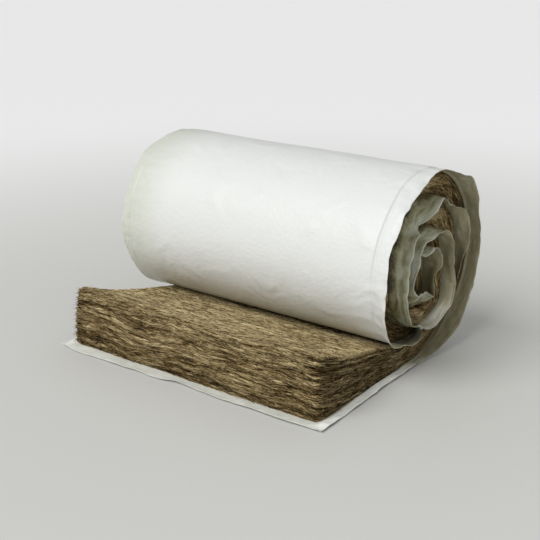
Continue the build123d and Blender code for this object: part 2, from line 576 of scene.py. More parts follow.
def strand_net(count):
    """That many upright tubes in a row."""
    net = bmesh.new()
    bmesh.ops.create_cone(
        net, cap_ends=True, segments=RING_SIDES, radius1=NET_RADIUS, radius2=NET_RADIUS, depth=1.0)
    bmesh.ops.subdivide_edges(net, edges=upright_edges(net), cuts=RINGS - 2, use_grid_fill=True)
    made = 1
    while made < count:
        copied = bmesh.ops.duplicate(net, geom=net.verts[:] + net.edges[:] + net.faces[:])["geom"]
        copies = [part for part in copied if isinstance(part, bmesh.types.BMVert)]
        bmesh.ops.translate(net, verts=copies, vec=(made, 0.0, 0.0))
        made *= 2
    surplus = [vert for vert in net.verts if vert.co.x > count - 0.5]
    bmesh.ops.delete(net, geom=surplus, context="VERTS")
    return net


def strand_mesh(name, spine, thickness, lengths, tone):
    """One mesh of tapered tubes. The spine and the lengths have a row of rings for each strand."""
    ahead = np.gradient(spine, axis=1)
    ahead /= np.maximum(np.linalg.norm(ahead, axis=2, keepdims=True), TINY)
    beside = np.cross(ahead, REFERENCE)
    beside /= np.maximum(np.linalg.norm(beside, axis=2, keepdims=True), TINY)
    above = np.cross(ahead, beside)
    taper = np.sin(np.linspace(*ROUND_TIPS, RINGS) * math.pi) * thickness[:, None]
    mesh = mesh_from(strand_net(len(spine)), name)
    net = mesh_points(mesh)
    strand = np.rint(net[:, 0]).astype(int)
    ring = np.rint((net[:, 2] + 0.5) * (RINGS - 1)).astype(int)
    angle = np.arctan2(net[:, 1], net[:, 0] - strand) - math.pi / 2
    rim = beside[strand, ring] * np.cos(angle)[:, None] + above[strand, ring] * np.sin(angle)[:, None]
    set_points(mesh, spine[strand, ring] + rim * taper[strand, ring][:, None])
    paint(mesh, "fibre", lengths[strand, ring])
    paint(mesh, "tone", tone[strand])
    return mesh


print("a strand has", RINGS * RING_SIDES, "vertices")

# %% Lay strands along the layers
STRAND_RADIUS = 1.3 * MM
TILT = 0.06  # slope of a strand against the layers
BEND = 0.015  # share of its length that a strand bends
PATTERN_SHIFT = 5.0  # metres; each strand reads another part of the material's pattern
dice = np.random.default_rng(6)


def lay_lines(s, t, length):
    """Lengths along and across the fibres for each ring of each strand, in the direction of the layers."""
    tilt = dice.normal(0.0, TILT, len(s))
    run = np.linspace(-0.5, 0.5, RINGS)[None, :] * length[:, None]
    bend = dice.normal(0.0, BEND, (len(s), RINGS)) * length[:, None]
    s, t = s[:, None], t[:, None]
    strayed = wander(s + run, t) - wander(s, t)
    return s + run, t + run * tilt[:, None] + bend - strayed


def add_strands(name, spine, thickness, s, t, tone):
    """Add strands as a piece, with the pattern of each one shifted."""
    shift = dice.uniform(0.0, PATTERN_SHIFT, len(s))
    lengths = np.stack([s, t, np.zeros_like(s)], axis=2) + shift[:, None, None]
    mesh = strand_mesh(name, spine, thickness * STRAND_RADIUS, lengths, tone)
    return add_piece(name, mesh, "wool_blanket")


# %% Lay strands on the tail
TAIL_STRANDS = (35.0 * MM, 140.0 * MM)  # shortest and longest
LOWEST = 2.0 * MM  # of a strand, above the floor
FRINGE = 45.0 * MM  # strip along a cut edge where strands stick out
TIP_RISE = (-0.2, 1.0)  # shares of a stretch's rise
LIFT = (-0.8 * MM, 1.2 * MM)  # of a whole strand, off the skin
TAIL_THICKNESS = (0.5, 1.0)  # shares of the strand's radius
TAIL_TONES = (-0.35, 0.55)


def unfold(s, t):
    """Distance across, distance back and height of a place on the tail's front, top or sides."""
    back = np.maximum(t - LOFT, 0.0) + np.maximum(np.abs(s) - half_wool, 0.0)
    across = np.clip(s, -half_wool, half_wool)
    return across, back, np.clip(t, 0.0, LOFT) / LOFT * tail_height(back, across)


def tail_strands(low, high, count, rise):
    """Strands on a stretch of the tail between two corners. Their tips rise by up to that much."""
    s = dice.uniform(low[0], high[0], count)
    t = dice.uniform(low[1], high[1], count)
    s, t = lay_lines(s, t, dice.uniform(*TAIL_STRANDS, count))
    points, out, _, tone = tail_skin(*(part.ravel() for part in unfold(s, t)))
    rising = dice.uniform(*TIP_RISE, (count, 1)) * rise * np.linspace(0, 1, RINGS) ** 3
    lift = dice.uniform(*LIFT, (count, 1)) + rising
    spine = (points + out * lift.reshape(-1, 1)).reshape(count, RINGS, 3)
    spine[:, :, 2] = np.maximum(spine[:, :, 2], LOWEST)
    return s, t, spine, tone.reshape(count, RINGS).mean(axis=1)


def cover_tail(name, stretches):
    laid = [tail_strands(*stretch) for stretch in stretches]
    s, t, spine, tone = (np.concatenate(parts) for parts in zip(*laid))
    thickness = dice.uniform(*TAIL_THICKNESS, len(s))
    return add_strands(name, spine, thickness, s, t, 0.8 * tone + dice.uniform(*TAIL_TONES, len(s)))


wool_front_strands = cover_tail("wool_front_strands", [
    ((-half_wool, 0.0), (half_wool, LOFT), 4200, 6 * MM),
    ((-half_wool, LOFT - FRINGE), (half_wool, LOFT + FRINGE), 500, 14 * MM),
    ((-half_wool, 0.0), (half_wool, FRINGE), 300, 16 * MM)])
wool_top_strands = cover_tail("wool_top_strands", [
    ((-half_wool, LOFT), (half_wool, LOFT + tail_reach), 3400, 5 * MM),
    ((half_wool, 0.0), (half_wool + tail_reach, LOFT), 1400, 8 * MM),
    ((-half_wool - tail_reach, 0.0), (-half_wool, LOFT), 1200, 8 * MM),
    ((-half_wool - FRINGE, 0.0), (-half_wool, LOFT), 200, 20 * MM),
    ((half_wool, 0.0), (half_wool + FRINGE, LOFT), 160, 16 * MM)])

# %% Lay strands on the roll's ends
END_STRANDS = 4000
END_LENGTHS = (18.0 * MM, 60.0 * MM)  # shortest and longest
RIGHT_SHARE = 0.6  # of the strands, on the end that is seen
STANDS_OFF = (-0.5 * MM, 4.0 * MM)
END_THICKNESS = (0.3, 0.7)  # shares of the strand's radius
END_TONES = (-0.3, 0.3)
PLANTED = (0.04, 0.96)  # shares of the layer's thickness between which strands start
KEPT_IN = (0.03, 0.97)  # shares that no strand goes past

s = dice.uniform(0.0, wound_length, END_STRANDS)
side = np.repeat(np.where(dice.uniform(0.0, 1.0, END_STRANDS) < RIGHT_SHARE, 1.0, -1.0), RINGS)
t = dice.uniform(*PLANTED, END_STRANDS) * wound_loft
s, t = lay_lines(s, t, dice.uniform(*END_LENGTHS, END_STRANDS))
s = np.clip(s, 0.0, wound_length)
points, _, tone = roll_skin(s.ravel(), np.clip(t.ravel() / wound_loft, *KEPT_IN), side)
points[:, 0] += side * dice.uniform(*STANDS_OFF, len(points))
tone = tone.reshape(END_STRANDS, RINGS).mean(axis=1)
spine = points.reshape(END_STRANDS, RINGS, 3)
thickness = dice.uniform(*END_THICKNESS, END_STRANDS)
tone = 0.9 * tone + dice.uniform(*END_TONES, END_STRANDS)
wool_end_strands = add_strands("wool_end_strands", spine, thickness, s, t, tone)

# %% [markdown]
# ## How the facing's tabs lean
#
# The facing is one sheet, 6.4 m long, on the outside of every turn. Past the wool's edges it is loose, and it
# leans in towards the roll's axis or out from it. A simulated cloth would let the tabs fall in a way of its
# own. So the lean was judged at each place round the roll and is listed against the quarter turn, in
# degrees, above 0 where the tab leans in. Between the listed places it changes in a straight line, which
# leaves the creases that a stiff film has. The left-hand tab leans in nearly all round.

# %% List how the tabs lean
RIGHT_LEANS = [
    (-1.2, 2), (-0.5, 3), (-0.1, 8), (0.12, 10), (0.3, 2), (0.6, 2), (0.8, -1), (1.1, 6), (1.3, -6),
    (1.42, -22), (1.5, -28), (1.58, -18), (1.67, 2), (1.78, 2), (1.86, -2), (1.95, 0), (2.08, 2), (2.17, 15),
    (2.3, 18), (2.4, 15), (2.5, 6), (2.7, 6), (2.95, 0), (3.1, -12), (3.22, -22), (3.4, -28), (3.5, -30),
    (3.56, -14), (3.66, 6), (3.82, 12), (3.95, 18), (4.02, 40), (4.08, 74), (4.2, 74), (4.5, 60), (4.75, 50),
    (5.0, 30), (5.15, -6), (5.27, -32), (5.36, -24), (5.5, 0), (5.57, 14), (5.7, 32), (5.8, 20), (5.88, 12),
    (5.94, 24), (6.0, 36), (6.06, 58), (6.12, 76), (6.2, 74), (6.38, 50), (6.6, 46), (7.0, 46), (7.25, 34),
    (7.4, 16), (7.5, 4), (7.65, 10), (7.75, 20), (7.88, 14), (8.0, 0), (8.15, -26), (8.25, -46), (8.42, -58),
    (8.6, -34), (8.8, -6), (9.0, 10), (9.25, 10), (9.4, -14), (9.55, 0), (9.7, 20), (9.8, 18), (9.88, 18),
    (9.95, 28), (10.1, 42), (10.3, 38), (10.5, 32), (11.0, 22), (11.2, 18), (11.45, 28), (11.75, 42),
    (12.0, 42), (12.25, 50), (12.45, 34), (12.75, 52), (12.95, 36), (13.1, 5), (13.4, 0), (13.6, 2),
    (13.75, 8), (13.9, 22), (14.05, 38), (14.2, 54), (14.4, 70), (14.6, 60)]
RIGHT_RIMS = [(6.3, 0), (6.6, -36), (7.0, -40), (7.3, -20), (7.5, 0)]  # how much more the rim is turned
LEFT_LEANS = [
    (-1.2, 2), (-0.4, 2), (0.0, 4), (0.4, 9), (0.9, 15), (1.2, 8), (1.6, 19), (1.9, 10), (2.15, 20),
    (2.4, 10), (2.7, 19), (3.0, 9), (3.25, 13), (3.5, 2), (3.8, -6), (4.1, 8), (4.6, 10), (5.3, 38),
    (5.8, 62), (5.95, 20), (6.1, 74), (6.5, 52), (7.0, 20), (7.6, 12), (8.2, 4), (9.0, 22), (9.6, 54),
    (9.9, 24), (10.0, 76), (10.4, 44), (11.0, 18), (12.0, 40), (13.0, 30), (14.0, 60), (15.0, 24), (16.0, 10)]
for name, leans in (("right", RIGHT_LEANS), ("left", LEFT_LEANS)):
    degrees = [lean for _, lean in leans]
    print(name, "tab leans from", min(degrees), "to", max(degrees), "degrees")

# %% [markdown]
# ## The tabs' shape
#
# Across its width a tab bends from the wool's edge, runs on flat, and ends in a rim that is turned this way
# and that. Its edge is a little torn. The inner turns have been handled more, so they are crumpled more.
# Everything is worked out as two distances, out past the wool's edge and in towards the axis.

# %% Bend and crumple the tabs
BEND_SHARE = 0.45  # of a tab's width, where it bends
FLAT_SHARE = 0.25  # of a tab's width, flat; the rest is the rim
TORN = 0.05  # share of a tab's width that its edge is out of line, in waves and in nicks
TORN_WAVE = 110.0 * MM
NICK = 35.0 * MM
LEAN_PATCH = 70.0 * MM  # a stretch of tab with a lean of its own
RIM_PATCH = 60.0 * MM
FOLD = 45.0 * MM  # size of one flat facet of creased film
SMALL_FOLD = 27.0 * MM
STRAIGHT = 1e-3  # radians, for a tab that doesn't lean
INNER_FROM = 3.9  # quarter turn where the inner turns begin
INNER_RISE = 0.8  # quarter turns over which they take their own character
UNEVEN_LEAN = (2.0, 3.0)  # degrees, on every turn, and more on the inner ones
UNEVEN_RIM = (8.0, 14.0)
DENT = 1.4 * MM  # depth of the dents on every turn
CLIMB_DENT = 1.8 * MM  # more where the film climbs
INNER_DENT = 2.6 * MM  # more on the inner turns
INNER_SHIFT = 4.0 * MM  # of the inner tabs' edges, in and out


def inner_turn(turns):
    """0 on the outermost turn, rising to 1 on those inside it."""
    return ease((turns - INNER_FROM) / INNER_RISE)


def bend_tab(along, side, loose):
    """How far a tab reaches along its own width, out past the wool's edge, and in towards the axis."""
    turns = quarters(along)
    inner = inner_turn(turns)
    width = film_edge(along, side) - wool_edge(along, side)
    torn = TORN * (waves(along / TORN_WAVE, side * 5, seed=41) + facets(along / NICK, side * 3, seed=43))
    past = loose * width * (1 + loose * torn)
    lean = np.radians(by_side(RIGHT_LEANS, LEFT_LEANS, turns, side))
    uneven_lean = UNEVEN_LEAN[0] + UNEVEN_LEAN[1] * inner
    lean = lean + np.radians(uneven_lean) * facets(along / LEAN_PATCH, side * 7 + loose, seed=47)
    lean = np.where(np.abs(lean) < STRAIGHT, STRAIGHT, lean)
    turned = listed(RIGHT_RIMS, turns) * (side > 0)
    uneven_rim = UNEVEN_RIM[0] + UNEVEN_RIM[1] * inner
    flip = lean + np.radians(turned + uneven_rim * facets(along / RIM_PATCH, side * 9, seed=91))
    bend = BEND_SHARE * width
    bent = np.minimum(past, bend)
    flat = np.clip(past - bend, 0.0, FLAT_SHARE * width)
    rim = past - bent - flat
    out = np.sin(lean * bent / bend) * bend / lean + np.cos(lean) * flat + np.cos(flip) * rim
    depth = (1 - np.cos(lean * bent / bend)) * bend / lean + np.sin(lean) * flat + np.sin(flip) * rim
    return past, out, depth


def crumple_tab(along, side, loose, past):
    """How far the creases move a tab out past the wool's edge, and in towards the axis."""
    turns = quarters(along)
    inner = inner_turn(turns)
    dents = facets(past / FOLD, along / FOLD + side, seed=53)
    dents = dents + 0.4 * facets(past / SMALL_FOLD, along / SMALL_FOLD, seed=59)
    sideways = facets(past / FOLD, along / FOLD, seed=57) * loose * INNER_SHIFT * inner
    deep = dents * ease(2 * loose) * (DENT + CLIMB_DENT * (turns < TURN / 2) + INNER_DENT * inner)
    return sideways, deep


print(f"right-hand tab {(film_edge(0.0, 1.0) - wool_edge(0.0, 1.0)) / MM:.0f} mm wide where the film climbs")

# %% [markdown]
# ## The film on the roll and round the tail
#
# On the outer turn the film isn't stretched tight. It bags a little, puckers beside the wool's edges, and is
# drawn into a crease along them. A bump in the material would show none of this at the outline, so it is in
# the mesh. Round the tail the loose border is lifted off the floor, most of all at the front, so a thin dark
# line of shade runs under its ragged edge.

# %% Slacken the film
SLACK = 2.6 * MM  # how far the film stands off on average
SLACK_START = 350.0 * MM  # of the winding, over which the film comes off the wool
TIGHT_FROM = 3.2  # quarter turn where the film is pressed tight again
TIGHT_RISE = 0.3
BAG = (300.0 * MM, 340.0 * MM)  # across the roll and along the winding
SMALL_BAG = (110.0 * MM, 160.0 * MM)
BAG_DEPTH = 2.4 * MM
PUCKER = (90.0 * MM, 28.0 * MM)
PUCKER_AT = -12.0 * MM  # from the wool's edge
PUCKER_REACH = 35.0 * MM
PUCKER_DEPTH = 1.8 * MM
CREASE_AT = 3.0 * MM  # from the wool's edge
CREASE_REACH = 4.0 * MM
CREASE_WAVE = 150.0 * MM
RIGHT_CREASE = 10.0 * MM
LEFT_CREASE = 3.0 * MM
PLEAT = 20.0 * MM
PLEAT_FROM = 2.7  # quarter turn where the right-hand tab is gathered into pleats
PLEAT_RISE = 0.4
PLEAT_DEPTH = 3.0 * MM
CRINKLE = (140.0 * MM, 100.0 * MM)
CRINKLE_DEPTH = 0.35 * MM


def slack(across, along, side, loose):
    """How far the film stands off the outer turn, in metres."""
    turns = quarters(along)
    tight = ease((turns - TIGHT_FROM) / TIGHT_RISE)
    baggy = ease(along / SLACK_START) * (1 - inner_turn(turns)) * (1 - tight)
    sag = waves(across / BAG[0], along / BAG[1], seed=61)
    sag = sag + 0.5 * waves(across / SMALL_BAG[0], along / SMALL_BAG[1], seed=63)
    beside = np.abs(across) - half_wool
    pucker = np.exp(-(((beside - PUCKER_AT) / PUCKER_REACH) ** 2))
    pucker = pucker * waves(along / PUCKER[1], across / PUCKER[0], seed=67)
    crease = np.exp(-(((beside - CREASE_AT) / CREASE_REACH) ** 2))
    crease = crease * (0.7 + 0.3 * waves(along / CREASE_WAVE, 2.0, seed=69))
    crease = crease * np.where(side > 0, RIGHT_CREASE, LEFT_CREASE)
    gathered = loose * (side > 0) * ease((turns - PLEAT_FROM) / PLEAT_RISE)
    pleats = gathered * waves(along / PLEAT, loose, seed=65)
    crinkle = (1 - loose) * facets(across / CRINKLE[0], along / CRINKLE[1], seed=71)
    folds = BAG_DEPTH * sag + PUCKER_DEPTH * pucker + PLEAT_DEPTH * pleats + CRINKLE_DEPTH * crinkle
    return baggy * (SLACK + folds - crease)


top = np.interp(2.0, quarters(arc_starts), arc_starts)
print(f"film {slack(0.0, top, 1.0, 0.0) / MM:.1f} mm off the wool, in the middle of the roll's top")

# %% Shape the facing
FRONT_LIFT = [(0.0, 0.0), (0.3, 4.0), (1.0, 13.0)]  # share of the border's width, mm off the floor
SIDE_LIFT = [(0.0, 0.0), (0.3, 13.0), (1.0, 8.0)]
LONGER = 0.06  # share of the front border's width that it is longer than the solid's, on average
RAGGED = 0.12  # shares that its edge is out of line, in waves and in nicks
RAGGED_WAVE = 130.0 * MM
NICKED = 0.10
RAGGED_NICK = 45.0 * MM
RIPPLE = (150.0 * MM, 120.0 * MM)


def facing_skin(across, along):
    """Points on the facing's outer side, and how loose it is, from 0 on the wool to 1 at a tab's edge."""
    side = np.where(across < 0, -1.0, 1.0)
    loose = np.maximum(np.abs(across) - half_wool, 0.0) / (half_facing - half_wool)
    past, out, depth = bend_tab(along, side, loose)
    sideways, dented = crumple_tab(along, side, loose, past)
    y, z = wound(along, depth + dented - slack(across, along, side, loose))
    held = wool_edge(along, side)
    x = side * np.where(loose > 0, held + out + sideways, np.abs(across) * held / half_wool)
    before = np.maximum(cut_end - y, 0.0) / END_TAB
    ragged = LONGER + RAGGED * waves(across / RAGGED_WAVE, 3.0, seed=73)
    ragged = ragged + NICKED * facets(across / RAGGED_NICK, 5.0, seed=79)
    y = y - before * END_TAB * ragged
    lift = np.maximum(listed(FRONT_LIFT, before), listed(SIDE_LIFT, loose)) * MM
    ripple = 0.65 + 0.35 * facets(x / RIPPLE[0], y / RIPPLE[1], seed=83)
    z = np.where(along < 0, z + lift * ripple, z)
    return np.stack([x, y, np.maximum(z, 0.0)], axis=1), np.maximum(loose, np.minimum(before, 1.0))


# %% [markdown]
# ## The facing's net
#
# The net has one column for each place across the sheet and one row for each place along it. They lie close
# where the film is creased or bent: at the wool's edges, on the tabs, and in a very narrow row at the front
# edge, which would look blunt without it. Deep in the roll the middle of the sheet is hidden, so its columns
# are dissolved. Solidify then gives the sheet its thickness and the paper its own material.

# %% Lay out the facing's rows and columns
EDGE_ROW = 1.5 * MM
FINE_ROW = 9.0 * MM
INNER_ROW = 9.5 * MM
TAB_STARTS = (-26.0 * MM, -16.0 * MM)  # a tab's first columns, from the wool's edge
CREASE_SPAN = (-8.0 * MM, 12.0 * MM)
CREASE_COLUMNS = 8
TAB_COLUMNS = 20
MIDDLE_COLUMNS = 46
VISIBLE_TURNS = 4.7  # further in, the middle of the sheet is hidden

first_hidden = float(np.interp(VISIBLE_TURNS, quarters(arc_starts), arc_starts))
front_edge = -tail_length - END_TAB
fine_rows = round((first_hidden - front_edge) / FINE_ROW)
inner_rows = round((wound_length - first_hidden) / INNER_ROW)
rows = np.concatenate([
    [front_edge],
    np.linspace(front_edge + EDGE_ROW, first_hidden, fine_rows),
    np.linspace(first_hidden, wound_length + END_TAB, inner_rows)[1:]])
crease_columns = np.linspace(*CREASE_SPAN, CREASE_COLUMNS)
past_crease = np.linspace(CREASE_SPAN[1], half_facing - half_wool, TAB_COLUMNS - CREASE_COLUMNS)[1:]
tab = half_wool + np.concatenate([TAB_STARTS, crease_columns, past_crease])
columns = np.concatenate([-tab[::-1], np.linspace(-tab[0], tab[0], MIDDLE_COLUMNS + 1)[1:-1], tab])
print(len(columns), "columns,", len(rows), "rows")

# %% Build the facing
sheet = bmesh.new()
bmesh.ops.create_grid(sheet, x_segments=len(columns) - 1, y_segments=len(rows) - 1, size=0.5)
middle = 0.5 - (TAB_COLUMNS + 0.5) / (len(columns) - 1)
hidden_from = (np.searchsorted(rows, first_hidden) - 0.5) / (len(rows) - 1) - 0.5
lengthwise = [edge for edge in sheet.edges if edge.verts[0].co.x == edge.verts[1].co.x]
between_tabs = [edge for edge in lengthwise if abs(edge.verts[0].co.x) < middle]
unseen = [edge for edge in between_tabs if min(vert.co.y for vert in edge.verts) > hidden_from]
bmesh.ops.dissolve_edges(sheet, edges=unseen, use_verts=True)
bmesh.ops.reverse_faces(sheet, faces=sheet.faces[:])
facing_mesh = mesh_from(sheet, "facing_film")
net = mesh_points(facing_mesh)
across = columns[np.rint((net[:, 0] + 0.5) * (len(columns) - 1)).astype(int)]
along = rows[np.rint((net[:, 1] + 0.5) * (len(rows) - 1)).astype(int)]
points, loose = facing_skin(across, along)
set_points(facing_mesh, points)
facing_film = add_piece("facing_film", facing_mesh, "facing_sheet")
wall = facing_film.modifiers.new("film thickness", "SOLIDIFY")
wall.thickness = FACING_THICKNESS
wall.offset = -1.0
wall.material_offset = 1
wall.material_offset_rim = 1

# %% [markdown]
# ## Stains and painted shade
#
# Binder from the wool has stained the inner turns of the film olive, most of all beside the wool, and the
# paper wherever it was glued. Painted shade and light are mixed in with the stain: the film is painted
# darker beside the wool, where the gaps between the turns are in shade, and paler towards its edges, as the
# light let through the thin film; the paper is painted darker inside the roll and paler at the bottoms of
# the inner turns, where light falls on it; and the outer turn's left-hand end is painted darker as shade.
# How much each place has, from 0 to 1, is stored at the vertices, because it follows the winding. A painted
# picture would need a map of the whole sheet. The material adds what is finer.

# %% Stain and shade the facing
STAINS_AND_SHADE = [  # quarter turn, stain and painted shade of the film beside the wool, and at its edge
    (3.9, 0.0, 0.0), (4.1, 0.15, 0.1), (4.6, 0.55, 0.28), (5.2, 0.62, 0.3), (5.9, 0.65, 0.3),
    (6.4, 0.8, 0.28), (6.6, 0.95, 0.28), (7.1, 0.95, 0.26), (7.4, 0.65, 0.35), (8.2, 0.55, 0.35),
    (9.0, 0.8, 0.42), (9.8, 0.6, 0.28), (10.3, 0.75, 0.28), (11.2, 0.85, 0.35), (12.0, 0.6, 0.32),
    (13.6, 0.7, 0.25), (14.5, 0.6, 0.3)]
LIT_BOTTOM_AT = 0.2  # quarter turns past the bottom of the inner turns, where the paper is painted paler, as light
LIT_BOTTOM_SPREAD = 0.45
LEFT_END_PAINTED_SHADE = 0.14  # of the outer turn's left-hand end, painted darker as shade
LEFT_SHADE_FROM = 380.0 * MM  # from the middle of the blanket
LEFT_SHADE_REACH = 260.0 * MM
LEFT_SHADE_START = 300.0 * MM  # of the winding, over which it comes in

turns = quarters(along)
from_lit_bottom = (turns - LIT_BOTTOM_AT + TURN / 2) % TURN - TURN / 2
painted_light_at_bottoms = np.exp(-((from_lit_bottom / LIT_BOTTOM_SPREAD) ** 2)) * (turns > TURN - 1)
stain_turns, root_stains_and_shade, edge_stains_and_shade = zip(*STAINS_AND_SHADE)
root_stain_and_shade = np.interp(turns, stain_turns, root_stains_and_shade)
edge_stain_and_shade = np.interp(turns, stain_turns, edge_stains_and_shade)
# Darkest beside the wool, as stain and painted shade, and paler towards the edge, as painted light let
# through
stain_and_shade = root_stain_and_shade + (edge_stain_and_shade - root_stain_and_shade) * ease(1.25 * loose - 0.15)
# Painted shade at the outer turn's left-hand end
left_end_shade = LEFT_END_PAINTED_SHADE * ease((-across - LEFT_SHADE_FROM) / LEFT_SHADE_REACH) * ease(along / LEFT_SHADE_START) * (turns < TURN)
paint(facing_mesh, "sheet", np.stack([across, along, np.zeros_like(along)], axis=1))
paint(facing_mesh, "loose", loose)
# Inside the roll the paper is stained and painted darker as shade, less so at the bottoms of the inner turns
paint(facing_mesh, "stain_and_shade_back", ease((turns + 0.25) / 0.5) * (1 - 0.5 * painted_light_at_bottoms))
paint(facing_mesh, "stain_and_shade_front", stain_and_shade + left_end_shade)
print(f"film stained {stain_and_shade.mean():.2f} on average, {stain_and_shade.max():.2f} at most")

# %% [markdown]
# ## Colours and nodes
#
# Colours are written as they look on a screen and turned to the linear values that the renderer works in.
# One small function adds a node, sets its values and links its inputs, so each material reads as a list.

# %% Helpers for materials
def linear(colour):
    """The linear RGBA of an sRGB hex value."""
    channels = [int(colour[i:i + 2], 16) / 255 for i in (1, 3, 5)]
    return [c / 12.92 if c <= 0.04045 else ((c + 0.055) / 1.055) ** 2.4 for c in channels] + [1.0]


def add_node(tree, kind, settings=None, **inputs):
    """Add a node. An input, named or numbered as in _0, is a value or another node's output to link."""
    node = tree.nodes.new(kind)
    for name, value in (settings or {}).items():
        setattr(node, name, value)
    for name, value in inputs.items():
        socket = node.inputs[int(name[1:])] if name[1:].isdigit() else node.inputs[name.replace("_", " ")]
        if isinstance(value, bpy.types.NodeSocket):
            tree.links.new(value, socket)
        else:
            socket.default_value = value
    return node


def new_material(name):
    material = bpy.data.materials.new(name)
    material.use_nodes = True
    material.node_tree.nodes.clear()
    return material, material.node_tree


def set_colours(ramp, stops):
    """Give a colour ramp its (position, colour) stops, first and last ones first."""
    for element, (position, colour) in zip(ramp.color_ramp.elements, (stops[0], stops[-1])):
        element.position = position
        element.color = linear(colour)
    for position, colour in stops[1:-1]:
        ramp.color_ramp.elements.new(position).color = linear(colour)


print("mid grey is", round(linear("#808080")[0], 3))

# %% [markdown]
# ## Glass wool
#
# Glass wool is spun glass bound with a brown resin. Each fibre is far finer than a pixel, so the eye sees
# bundles: pale where they catch the light, dark brown in the gaps. The material paints this light and shade
# into the colour, as streaks and dark cracks. It has no shine of its own. The bundles follow the layers, so
# the pattern reads the lengths stored with the relief. A picture of wool would repeat.

# %% Draw the wool's bundles and cracks
BUNDLE_LENGTH_MM = 75.0
BUNDLE_WIDTH_MM = 5.0  # real bundles are finer; drawn this coarse so that they show
CRACK_LENGTH_MM = 95.0
CRACK_SPACING_MM = 16.0

wool_material, tree = new_material("brown_glass_wool")
fibre = add_node(tree, "ShaderNodeAttribute", {"attribute_name": "fibre"}).outputs["Vector"]
tone = add_node(tree, "ShaderNodeAttribute", {"attribute_name": "tone"}).outputs["Fac"]

# Long thin bundles, pale and dark by turns
stretched = add_node(tree, "ShaderNodeMapping", Vector=fibre,
                     Scale=(1000 / BUNDLE_LENGTH_MM, 1000 / BUNDLE_WIDTH_MM, 1.0)).outputs["Vector"]
bundles = add_node(tree, "ShaderNodeTexNoise", Vector=stretched, Scale=1.0, Detail=4.0, Roughness=0.62,
                   Distortion=0.8).outputs["Fac"]
streaks = add_node(tree, "ShaderNodeMath", {"operation": "MULTIPLY_ADD"},
                   _0=bundles, _1=2.0, _2=-0.70).outputs[0]

# Cracks between layers, painted dark as the shade in them, where a noise crosses its middle value
layered = add_node(tree, "ShaderNodeMapping", Vector=fibre,
                   Scale=(1000 / CRACK_LENGTH_MM, 1000 / CRACK_SPACING_MM, 1.0)).outputs["Vector"]
split = add_node(tree, "ShaderNodeTexNoise", Vector=layered, Scale=1.0, Detail=1.5,
                 Distortion=0.6).outputs["Fac"]
from_crack = add_node(tree, "ShaderNodeMath", {"operation": "SUBTRACT"}, _0=split, _1=0.5).outputs[0]
from_crack = add_node(tree, "ShaderNodeMath", {"operation": "ABSOLUTE"}, _0=from_crack).outputs[0]
painted_crack_shade = add_node(tree, "ShaderNodeMapRange", Value=from_crack, From_Min=0.0, From_Max=0.05,
                 To_Min=-0.34, To_Max=0.0).outputs[0]
streaks = add_node(tree, "ShaderNodeMath", {"operation": "ADD"}, _0=streaks, _1=painted_crack_shade).outputs[0]
print("bundles", BUNDLE_LENGTH_MM, "by", BUNDLE_WIDTH_MM, "mm, cracks", CRACK_SPACING_MM, "mm apart")

# %% Shade the glass wool
PATCHES_PER_METRE = 7.0
BUNDLE_BUMP = 4.0 * MM
WOOL_COLOURS = [(0.18, "#221808"), (0.42, "#5f4b2b"), (0.66, "#9a855a"), (0.98, "#e2d2a6")]

# Broad patches, and the tone of the relief
patches = add_node(tree, "ShaderNodeTexNoise", Vector=fibre, Scale=PATCHES_PER_METRE,
                   Detail=3.0).outputs["Fac"]
shade = add_node(tree, "ShaderNodeMath", {"operation": "MULTIPLY_ADD"},
                 _0=patches, _1=0.55, _2=streaks).outputs[0]
shade = add_node(tree, "ShaderNodeMath", {"operation": "MULTIPLY_ADD"},
                 _0=tone, _1=0.42, _2=shade).outputs[0]
ramp = add_node(tree, "ShaderNodeValToRGB", Fac=shade)
set_colours(ramp, WOOL_COLOURS)
bump = add_node(tree, "ShaderNodeBump", Height=bundles, Strength=0.6, Distance=BUNDLE_BUMP)
surface = add_node(tree, "ShaderNodeBsdfPrincipled", Base_Color=ramp.outputs["Color"], Roughness=0.95,
                   Specular_IOR_Level=0.15, Normal=bump.outputs["Normal"])
add_node(tree, "ShaderNodeOutputMaterial", Surface=surface.outputs["BSDF"])
for piece in (wool_tail, wool_winding, wool_front_strands, wool_top_strands, wool_end_strands):
    piece.data.materials.append(wool_material)
print(wool_material.name, len(tree.nodes), "nodes")

# %% [markdown]
# ## White facing
#
# The facing is a white polypropylene film laminated to paper. Outside it has a satin shine, with creases from
# handling and pleats along the tabs, where the stain has gathered in streaks. The thin edge of the film lets
# light through, and that light is painted on as a pale rim. The inner side is dull paper, stained by the
# binder where the wool was glued to it, and painted darker as shade inside the roll. Both are one pattern
# with other colours and another shine, so one function makes them.

# %% Draw the film's creases
CREASE_MM = 160.0
FINE_CREASE_MM = 16.0
PLEAT_MM = 13.0
PLEAT_LENGTH_MM = 90.0
FACET_MM = 38.0


